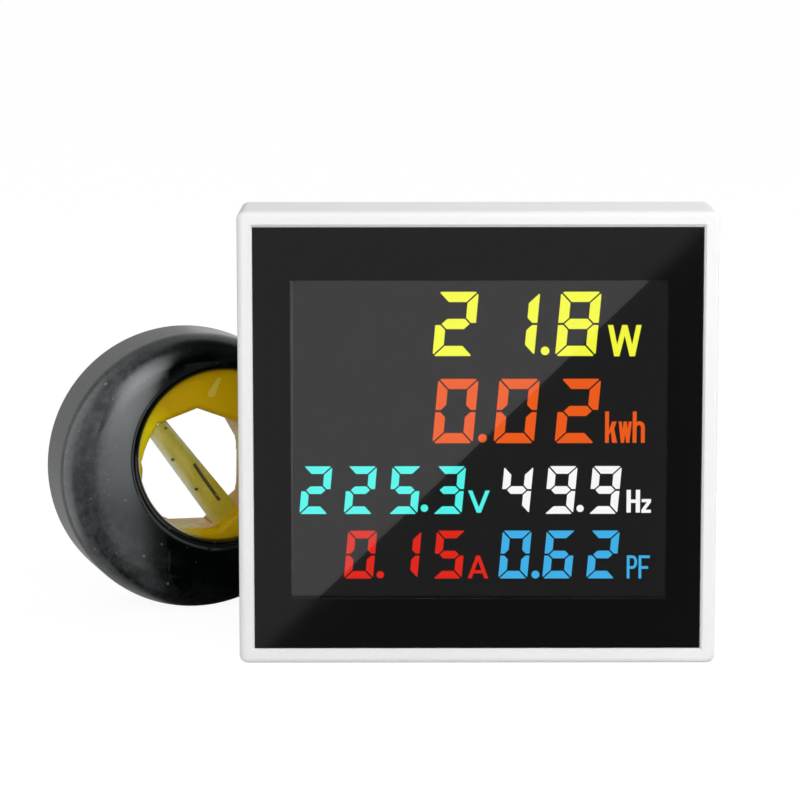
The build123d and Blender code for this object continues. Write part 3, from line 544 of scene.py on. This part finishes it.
def plates_mesh(bm, name):
    """Mesh in metres of plates in millimetres, with their many-sided faces cut up and all turned outward."""
    bm.normal_update()
    bmesh.ops.triangulate(bm, faces=[f for f in bm.faces if len(f.verts) > 4])
    bmesh.ops.recalc_face_normals(bm, faces=bm.faces)
    bmesh.ops.scale(bm, vec=(MM, MM, MM), verts=bm.verts)
    return mesh_of(bm, name)


SEGMENTS_OF = {"0": "abcdef", "1": "bc", "2": "abged", "3": "abgcd", "4": "fgbc", "5": "afgcd", "6": "afgedc",
               "8": "abcdefg", "9": "abcdfg"}
SLANT = 0.091
GAP_SHARE = 0.707
CUT_SHARE = 0.28
DOT_SIDES = 20


def segment_outlines(width, height, stroke, gap):
    """The seven outlines of a digit, u from the left and v from the top."""
    k = GAP_SHARE * gap
    c = CUT_SHARE * stroke
    mid = height / 2
    half = stroke / 2
    a = [(c, 0), (width - c, 0), (width - (c + k) / 2, (c - k) / 2), (width - stroke - k, stroke),
         (stroke + k, stroke), ((c + k) / 2, (c - k) / 2)]
    f = [(0, c), ((c - k) / 2, (c + k) / 2), (stroke, stroke + k), (stroke, mid - half - k), (half, mid - k),
         (0, mid - k)]
    g = [(half + k, mid), (stroke + k, mid - half), (width - stroke - k, mid - half), (width - half - k, mid),
         (width - stroke - k, mid + half), (stroke + k, mid + half)]

    def mirrored(points, across=False, down=False):
        return [(width - u if across else u, height - v if down else v) for u, v in points]

    return {"a": a, "f": f, "g": g, "b": mirrored(f, across=True), "c": mirrored(f, across=True, down=True),
            "e": mirrored(f, down=True), "d": mirrored(a, down=True)}


def digit(bm, text, left, bottom, top, width, stroke, gap):
    height = top - bottom
    outlines = segment_outlines(width, height, stroke, gap)
    for part in SEGMENTS_OF[text]:
        prism(bm, [(left + u + SLANT * (height - v), top - v) for u, v in outlines[part]])


def arc(cx, cy, rx, ry, start, end, count):
    return [(cx + rx * math.cos(math.radians(start + (end - start) * i / count)),
             cy + ry * math.sin(math.radians(start + (end - start) * i / count))) for i in range(count + 1)]


def round_dot(bm, x, z, radius):
    prism(bm, arc(x, z, radius, radius, 0, 360, DOT_SIDES)[:-1])


def crossing(p, q, r, s):
    """Where the line through p and q meets the line through r and s."""
    d1 = (q[0] - p[0], q[1] - p[1])
    d2 = (s[0] - r[0], s[1] - r[1])
    t = ((r[0] - p[0]) * d2[1] - (r[1] - p[1]) * d2[0]) / (d1[0] * d2[1] - d1[1] * d2[0])
    return (p[0] + t * d1[0], p[1] + t * d1[1])


def zigzag(points, stroke):
    """Outline of a letter of slanting strokes that starts and ends at the top, stroke measured across."""
    h = stroke / 2

    def side(i, shift):
        return (points[i][0] + shift, points[i][1]), (points[i + 1][0] + shift, points[i + 1][1])

    upper, lower = [], []
    for i, (x, z) in enumerate(points):
        at_top = i % 2 == 0
        near_side, far_side = (upper, lower) if at_top else (lower, upper)
        near_side.extend([(x - h, z), (x + h, z)])
        if 0 < i < len(points) - 1:
            far_side.append(crossing(*side(i - 1, h), *side(i, -h)))
    return upper + lower[::-1]


def letter(bm, outline, box):
    """Adds an outline given in shares of its (left, bottom, right, top) box."""
    left, bottom, right, top = box
    prism(bm, [(left + u * (right - left), bottom + v * (top - bottom)) for u, v in outline])


def shares(box, across, up=0.0):
    """A width and a height in millimetres as shares of a box."""
    left, bottom, right, top = box
    return across / (right - left), up / (top - bottom)


def letter_w(bm):
    box = (20.80, 49.06, 26.14, 54.06)
    stroke = shares(box, 0.84)[0]
    letter(bm, zigzag([(0.08, 1), (0.27, 0), (0.5, 1), (0.73, 0), (0.92, 1)], stroke), box)


def letters_kwh(bm):
    bottom, top = 35.18, 40.22
    low_letter = 0.68
    stroke = 0.62
    k = (20.47, bottom, 22.37, top)
    t = shares(k, stroke)[0]
    letter(bm, [(0, 0), (t, 0), (t, 0.26), (t + 0.17, 0.36), (1 - t * 1.25, 0), (1.02, 0), (t + 0.44, 0.45),
                (0.96, low_letter), (1 - t * 1.3, low_letter), (t, 0.40), (t, 1), (0, 1)], k)
    w = (22.62, bottom, 24.72, bottom + low_letter * (top - bottom))
    letter(bm, zigzag([(0.12, 1), (0.3, 0), (0.5, 1), (0.7, 0), (0.88, 1)], shares(w, 0.5)[0]), w)
    h = (24.86, bottom, 26.80, top)
    t = shares(h, stroke)[0]
    outer = arc(0.56, 0.5, 0.44, 0.19, 0, 130, 8)
    inner = arc(0.5, 0.47, 0.5 - t, 0.1, 180, 0, 8)
    letter(bm, [(0, 0), (t, 0)] + inner + [(1 - t, 0), (1, 0)] + outer + [(t, 0.62), (t, 1), (0, 1)], h)


def letter_v(bm):
    box = (-1.28, 23.92, 2.17, 27.50)
    stroke = shares(box, 0.68)[0]
    letter(bm, zigzag([(stroke / 2, 1), (0.5, 0), (1 - stroke / 2, 1)], stroke), box)


def letters_hz(bm):
    h = (23.99, 23.92, 26.14, 27.59)
    t, b = shares(h, 0.68, 0.27)
    letter(bm, [(0, 0), (t, 0), (t, 0.5 - b), (1 - t, 0.5 - b), (1 - t, 0), (1, 0), (1, 1), (1 - t, 1),
                (1 - t, 0.5 + b), (t, 0.5 + b), (t, 1), (0, 1)], h)
    z = (26.37, 23.87, 27.88, 26.10)
    b = shares(z, 0.0, 0.5)[1]
    letter(bm, [(0, 0), (1, 0), (1, b), (0.42, b), (1, 1 - b), (1, 1), (0.02, 1), (0.02, 1 - b),
                (0.58, 1 - b), (0, b)], z)


def letter_a(bm):
    box = (-1.30, 13.25, 1.97, 16.96)
    t = shares(box, 0.62)[0]
    bar_low, bar_high = 0.22, 0.36
    foot, peak = t / 2, 0.5

    def leg(v):
        """Inner side of the left leg."""
        return foot + (peak - foot) * v + t / 2

    apex = crossing((foot + t / 2, 0), (peak + t / 2, 1), (1 - foot - t / 2, 0), (peak - t / 2, 1))
    left_half = [(0, 0), (t, 0), (leg(bar_low), bar_low), (0.5, bar_low), (0.5, bar_high),
                 (leg(bar_high), bar_high), apex, (0.5, 1), (peak - t / 2, 1)]
    letter(bm, left_half, box)
    letter(bm, [(1 - u, v) for u, v in reversed(left_half)], box)


def letters_pf(bm):
    bottom, top = 13.22, 16.96
    stroke, bar_middle = 0.44, 15.0
    p = (24.12, bottom, 25.78, top)
    t, b = shares(p, stroke, stroke)
    low = (bar_middle - bottom) / (top - bottom) - b / 2
    mid = (low + 1) / 2
    outer = arc(0.55, mid, 0.45, (1 - low) / 2, -90, 90, 10)
    inner = arc(0.55, mid, 0.45 - t, (1 - low) / 2 - b, 90, -90, 10)
    letter(bm, [(t, low)] + outer + [(t, 1), (t, 1 - b)] + inner + [(t, low + b)], p)
    letter(bm, [(0, 0), (t, 0), (t, 1), (0, 1)], p)
    f = (26.00, bottom, 27.78, top)
    t = shares(f, stroke)[0]
    letter(bm, [(0, 0), (t, 0), (t, low), (0.86, low), (0.86, low + b), (t, low + b), (t, 1 - b), (1, 1 - b),
                (1, 1), (0, 1)], f)


# Each row: heights, kind of digit, digits with their left ends, dot with its radius, letters and colour
LARGE = {"width": 6.4, "stroke": 1.63, "gap": 0.25}
SMALL = {"width": 4.62, "stroke": 1.23, "gap": 0.24}
rows = [
    ("energy_row", (35.14, 45.47), LARGE, [("0", -6.97), ("0", 2.74), ("2", 12.45)], (1.00, 35.95, 0.69),
     letters_kwh, srgb(241, 90, 0)),
    ("power_row", (49.12, 59.36), LARGE, [("2", -6.97), ("1", 2.74), ("8", 12.45)], (10.87, 49.94, 0.69),
     letter_w, srgb(250, 254, 56)),
    ("voltage_row", (23.72, 31.43), SMALL, [("2", -28.2), ("2", -21.1), ("5", -14.0), ("3", -6.93)],
     (-8.24, 24.65, 0.6), letter_v, srgb(78, 248, 238)),
    ("frequency_row", (23.72, 31.43), SMALL, [("4", 3.80), ("9", 10.84), ("9", 17.88)], (16.59, 24.59, 0.58),
     letters_hz, srgb(255, 255, 255)),
    ("current_row", (13.23, 21.0), SMALL, [("0", -21.1), ("1", -14.0), ("5", -6.93)], (-15.29, 13.86, 0.6),
     letter_a, srgb(227, 26, 0)),
    ("factor_row", (13.23, 21.0), SMALL, [("0", 3.57), ("6", 10.6), ("2", 17.62)], (9.52, 13.86, 0.64),
     letters_pf, srgb(60, 179, 238)),
]
# Shift of all rows in millimetres, which lays them on their place in the photograph
ROWS_MOVE = (-0.19, 0.0, 0.22)
for name, (bottom, top), size, digits, dot, unit, colour in rows:
    bm = bmesh.new()
    for text, left in digits:
        digit(bm, text, left, bottom, top, **size)
    round_dot(bm, *dot)
    unit(bm)
    bmesh.ops.translate(bm, vec=ROWS_MOVE, verts=bm.verts)
    row = link(name, plates_mesh(bm, name), glow(name + "_light", colour), "meter")
    row.visible_glossy = False


# Grey strip along the black border's cut edge at the left of the opening: a painted highlight where that edge
# catches the light
bm = bmesh.new()
prism(bm, [(-30.0, 10.75), (-29.85, 10.75), (-29.48, 11.1), (-29.2, 61.1), (-29.5, 61.35), (-29.72, 61.35)])
link("opening_edge", plates_mesh(bm, "opening_edge"), plastic("painted_edge_highlight", (0.075, 0.075, 0.078)), "meter")


def clean(mesh, angle=32.0):
    """Merges doubles, turns the faces outward and shades smooth below an angle."""
    bm = bmesh.new()
    bm.from_mesh(mesh)
    bmesh.ops.remove_doubles(bm, verts=bm.verts, dist=0.001 * MM)
    bmesh.ops.recalc_face_normals(bm, faces=bm.faces)
    bm.to_mesh(mesh)
    bm.free()
    mesh.shade_smooth()
    mesh.set_sharp_from_angle(angle=math.radians(angle))
    return mesh


# Yellow tape on the ring: nine taut wraps round the winding, each edge lying on the next wrap

TAPE_FRONT, TAPE_BACK = 5.5, -6.6
TAPE_RADIUS = 21.7
BORE_RADIUS = 10.8
BORE_RIGHT_REACH = 9.6
BULGE, BULGE_ANGLE, BULGE_SPREAD = 0.9, 173, 15
WRAPS = 9
WRAP_STEPS = 6
FIRST_ANGLE = 90
WRAP_LEAN = -14.0
EDGE_HEIGHT = 0.11


def tape_path():
    """Closed section of a wrap: (share from bore to rim, depth, outward direction in that section)."""
    round_share, round_size, corner_share, corner = 0.11, 1.3, 0.2, 2.4
    bore_steps, round_steps, face_steps = 3, 5, 4
    bore_length = TAPE_FRONT - TAPE_BACK - 2 * round_size

    def rounding(i, edge, facing):
        """On the round edge between the bore and a flat side; facing is 1 in front and -1 at the back."""
        a = math.radians(90 * i / round_steps)
        depth = edge - facing * round_size * (1 - math.sin(a))
        return (round_share * (1 - math.cos(a)), depth, -math.cos(a), facing * math.sin(a))

    def flat(i, edge, facing):
        return (round_share + (1 - corner_share - round_share) * i / face_steps, edge, 0.0, facing)

    path = [(0.0, TAPE_BACK + round_size + bore_length * i / bore_steps, -1.0, 0.0)
            for i in range(bore_steps + 1)]
    path += [rounding(i, TAPE_FRONT, 1.0) for i in range(1, round_steps + 1)]
    path += [flat(i, TAPE_FRONT, 1.0) for i in range(1, face_steps + 1)]
    path += [(1.0, TAPE_FRONT - corner, 0.0, 0.0), (1.0, TAPE_BACK + corner, 0.0, 0.0)]
    path += [flat(i, TAPE_BACK, -1.0) for i in range(face_steps, -1, -1)]
    path += [rounding(i, TAPE_BACK, -1.0) for i in range(round_steps - 1, 0, -1)]
    return path


def tape_mesh():
    """Sections side by side round the ring, with a step down from each wrap's edge to the next one."""
    half = 180.0 / WRAPS
    path = tape_path()
    columns = []
    for wrap in range(WRAPS):
        for step in range(WRAP_STEPS + 1):
            share = step / WRAP_STEPS
            turned = (2 * share - 1) * half
            angle = FIRST_ANGLE + (2 * wrap + 1) * half + turned
            # The bore is a polygon of flat wraps that bulges in at the left and ends flat at the right
            chord = BORE_RADIUS * math.cos(math.radians(half)) / math.cos(math.radians(turned))
            chord -= BULGE * math.exp(-((angle - BULGE_ANGLE) / BULGE_SPREAD) ** 2)
            chord = min(chord, BORE_RIGHT_REACH / max(math.cos(math.radians(angle)), 0.5))
            rise = EDGE_HEIGHT * (1 - share)
            column = []
            for part, w, out_r, out_w in path:
                r = chord + (TAPE_RADIUS - chord) * part + rise * out_r
                a = math.radians(angle + WRAP_LEAN * part)
                column.append(in_ring(r * math.cos(a), r * math.sin(a), w + rise * out_w))
            columns.append(column)
    count = len(path)
    verts = [point for column in columns for point in column]
    faces = []
    for i in range(len(columns)):
        k = (i + 1) % len(columns)
        for j in range(count):
            m = (j + 1) % count
            faces.append((i * count + j, i * count + m, k * count + m, k * count + j))
    mesh = bpy.data.meshes.new("ring_wraps")
    mesh.from_pydata(verts, [], faces)
    return clean(mesh)


def near(n, where, place, inner, outer):
    """1 within inner millimetres of a place, falling to 0 at outer."""
    apart = n.vector("DISTANCE", where, place).outputs["Value"]
    return n.ramp(apart, inner * MM, outer * MM, 1.0, 0.0)


def tape_finish():
    """Glossy film over copper, deeper where it lies in layers, with painted light where the bore's edge and
    walls are lit.
    """
    material, n = new_material("tape_film")
    where = n.object()
    layers = n.noise(260.0, 3.0, where, 0.6)
    base = n.mix(layers, (0.66, 0.4, 0.0005, 1.0), (0.74, 0.465, 0.002, 1.0))
    # Painted light: a bright crescent on the lit edge at the bore's left, a pale patch on the bore's lit
    # bottom wall and a bright strip on its lit right wall
    for place, inner, outer, colour in (((-10.0, 5.5, 5.5), 2.5, 7.5, (0.95, 0.8, 0.004, 1.0)),
                                        ((-4.0, -10.5, 2.0), 1.5, 6.0, (0.7, 0.68, 0.14, 1.0)),
                                        ((10.0, 1.0, 0.0), 2.0, 6.5, (0.9, 0.86, 0.06, 1.0))):
        base = n.mix(near(n, where, in_ring(*place), inner, outer), base, colour)
    rough = n.ramp(n.noise(500.0, 3.0, where), 0.3, 0.7, 0.22, 0.36)
    n.finish(n.add("BsdfPrincipled", Base_Color=base, Roughness=rough, Specular_IOR_Level=0.05,
                   Normal=n.bump(0.00006, n.noise(150.0, 2.0, where))))
    return material


tape_film = tape_finish()
wraps = link("ring_wraps", tape_mesh(), tape_film, "current_ring")
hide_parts("ring_tape")

# Strap of rolled tape across the bore, with its adhesive marks and a dark line

STRAP_START, STRAP_END = (-6.85, 7.83), (5.52, -8.71)
STRAP_HALF_WIDTHS = (1.95, 2.61)
STRAP_FRONT = 3.3
STRAP_THICKNESS = 0.35
STRAP_BULGE = 0.45
STRAP_RIPPLE = 0.05
STRAP_LENGTH = math.dist(STRAP_START, STRAP_END)
STRAP_ALONG = tuple((b - a) / STRAP_LENGTH for a, b in zip(STRAP_START, STRAP_END))
STRAP_ACROSS = (-STRAP_ALONG[1], STRAP_ALONG[0])


def strap_half(along):
    """Half the strap's width at a share of its length."""
    return STRAP_HALF_WIDTHS[0] + (STRAP_HALF_WIDTHS[1] - STRAP_HALF_WIDTHS[0]) * along


def on_strap(along, side, lift=0.0):
    """A place on the strap's front, from its length share and its side, -1 to 1."""
    half = strap_half(along)
    u = STRAP_START[0] + STRAP_ALONG[0] * along * STRAP_LENGTH + STRAP_ACROSS[0] * side * half
    v = STRAP_START[1] + STRAP_ALONG[1] * along * STRAP_LENGTH + STRAP_ACROSS[1] * side * half
    ripple = STRAP_RIPPLE * math.sin(along * 17.0 + side * 2.0)
    return in_ring(u, v, STRAP_FRONT + STRAP_BULGE * (1 - side * side) + ripple + lift)


def strap_place(u, v):
    """Length share and side of a point of the ring's plane."""
    du, dv = u - STRAP_START[0], v - STRAP_START[1]
    along = (du * STRAP_ALONG[0] + dv * STRAP_ALONG[1]) / STRAP_LENGTH
    return along, (du * STRAP_ACROSS[0] + dv * STRAP_ACROSS[1]) / strap_half(along)


def strap_mesh():
    """A front and a back layer of the strap, joined round their edge."""
    long_steps, cross_steps = 28, 12
    verts, faces, where = [], [], []
    for lift in (0.0, -STRAP_THICKNESS):
        for i in range(long_steps + 1):
            for j in range(cross_steps + 1):
                along, side = i / long_steps, 2 * j / cross_steps - 1
                verts.append(on_strap(along, side, lift))
                where.append((along, (side + 1) / 2))
    row = cross_steps + 1
    layer = row * (long_steps + 1)
    for i in range(long_steps):
        for j in range(cross_steps):
            a = i * row + j
            faces.append((a, a + 1, a + row + 1, a + row))
            faces.append((a + layer, a + layer + row, a + layer + row + 1, a + layer + 1))
    for i in range(long_steps):
        for a in (i * row, i * row + cross_steps):
            faces.append((a, a + row, a + row + layer, a + layer))
    for j in range(cross_steps):
        for a in (j, long_steps * row + j):
            faces.append((a, a + 1, a + 1 + layer, a + layer))
    mesh = bpy.data.meshes.new("ring_band")
    mesh.from_pydata(verts, [], faces)
    uv = mesh.uv_layers.new(name="band")
    for loop in mesh.loops:
        uv.data[loop.index].uv = where[loop.vertex_index]
    return clean(mesh, 50.0)


def strap_finish():
    """Folded film: amber in the middle, with painted sheen as pale bands along its edges."""
    material, n = new_material("strap_film")
    where = n.object()
    place = n.add("SeparateXYZ", Vector=n.add("UVMap", {"uv_map": "band"}).outputs[0])
    along, side = place.outputs[0], place.outputs[1]
    base = n.mix(n.ramp(along, 0.1, 0.75), (0.5, 0.44, 0.05, 1.0), (0.66, 0.5, 0.01, 1.0))
    base = n.mix(n.noise(400.0, 4.0, where, 0.7), base, (0.52, 0.42, 0.03, 1.0))
    # Painted sheen: pale bands along the left and right edges stand in for the gloss of the rounded strap
    left = n.math("MULTIPLY", n.ramp(side, 0.02, 0.26, 1.0, 0.0), n.ramp(along, 0.55, 0.9, 0.9, 0.2))
    base = n.mix(left, base, (0.86, 0.85, 0.66, 1.0))
    right = n.math("MULTIPLY", n.ramp(side, 0.8, 0.98, 0.0, 1.0), n.ramp(along, 0.3, 0.7, 0.7, 0.0))
    base = n.mix(right, base, (0.62, 0.66, 0.5, 1.0))
    rough = n.ramp(n.noise(600.0, 3.0, where), 0.3, 0.7, 0.22, 0.4)
    n.finish(n.add("BsdfPrincipled", Base_Color=base, Roughness=rough, IOR=PLASTIC_IOR,
                   Normal=n.bump(0.00005, n.noise(320.0, 3.0, where))))
    return material


band = link("ring_band", strap_mesh(), strap_finish(), "current_ring")
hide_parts("ring_strap")

# Marks on the strap: three spots as (u, v, radius) and a dark line that runs through (u, v) points
SPOTS = ((-5.19, 7.42, 0.26), (-4.01, 1.88, 0.32), (0.09, -3.48, 0.33))
DARK_LINE = ((-0.31, 1.0), (1.2, -1.35), (2.75, -3.6), (4.16, -5.62))
DARK_LINE_HALF_WIDTH = 0.3
MARK_HEIGHT = 0.02
FOLD_LIFT, FOLD_HEIGHT = 0.1, 0.05
PATCH_DEPTH = 0.04


def raised_patch(bm, outline, place, height):
    """A thin closed patch whose top follows a surface given by place(point, lift)."""
    top = [bm.verts.new(place(point, height)) for point in outline]
    base = [bm.verts.new(place(point, -PATCH_DEPTH)) for point in outline]
    bm.faces.new(top)
    bm.faces.new(list(reversed(base)))
    for i in range(len(top)):
        k = (i + 1) % len(top)
        bm.faces.new((top[k], top[i], base[i], base[k]))


def strap_surface(point, lift):
    return on_strap(*strap_place(*point), lift)


def fold_surface(point, lift):
    return in_ring(*point, TAPE_FRONT + FOLD_LIFT + lift)


bm = bmesh.new()
for u, v, radius in SPOTS:
    raised_patch(bm, [(u + radius * (1 + 0.2 * math.sin(3 * a)) * math.cos(a),
                       v + radius * (1 + 0.15 * math.cos(2 * a)) * math.sin(a))
                      for a in (math.radians(30 * i) for i in range(12))], strap_surface, MARK_HEIGHT)
for (u0, v0), (u1, v1) in zip(DARK_LINE, DARK_LINE[1:]):
    share = DARK_LINE_HALF_WIDTH / math.dist((u0, v0), (u1, v1))
    cu, cv = (v1 - v0) * share, (u0 - u1) * share
    raised_patch(bm, [(u0 - cu, v0 - cv), (u1 - cu, v1 - cv), (u1 + cu, v1 + cv), (u0 + cu, v0 + cv)],
                 strap_surface, MARK_HEIGHT)
link("band_marks", clean(mesh_of(bm, "band_marks")), plastic("band_mark", (0.05, 0.04, 0.004), 0.5),
     "current_ring")

# A folded corner of tape that shows lighter on the front of the winding
bm = bmesh.new()
raised_patch(bm, [(4.22, 16.16), (3.46, 15.98), (1.73, 13.55), (1.95, 12.69), (3.01, 12.85)], fold_surface,
             FOLD_HEIGHT)
link("tape_fold", clean(mesh_of(bm, "tape_fold")), plastic("fold_film", (0.7, 0.5, 0.003), 0.5),
     "current_ring")
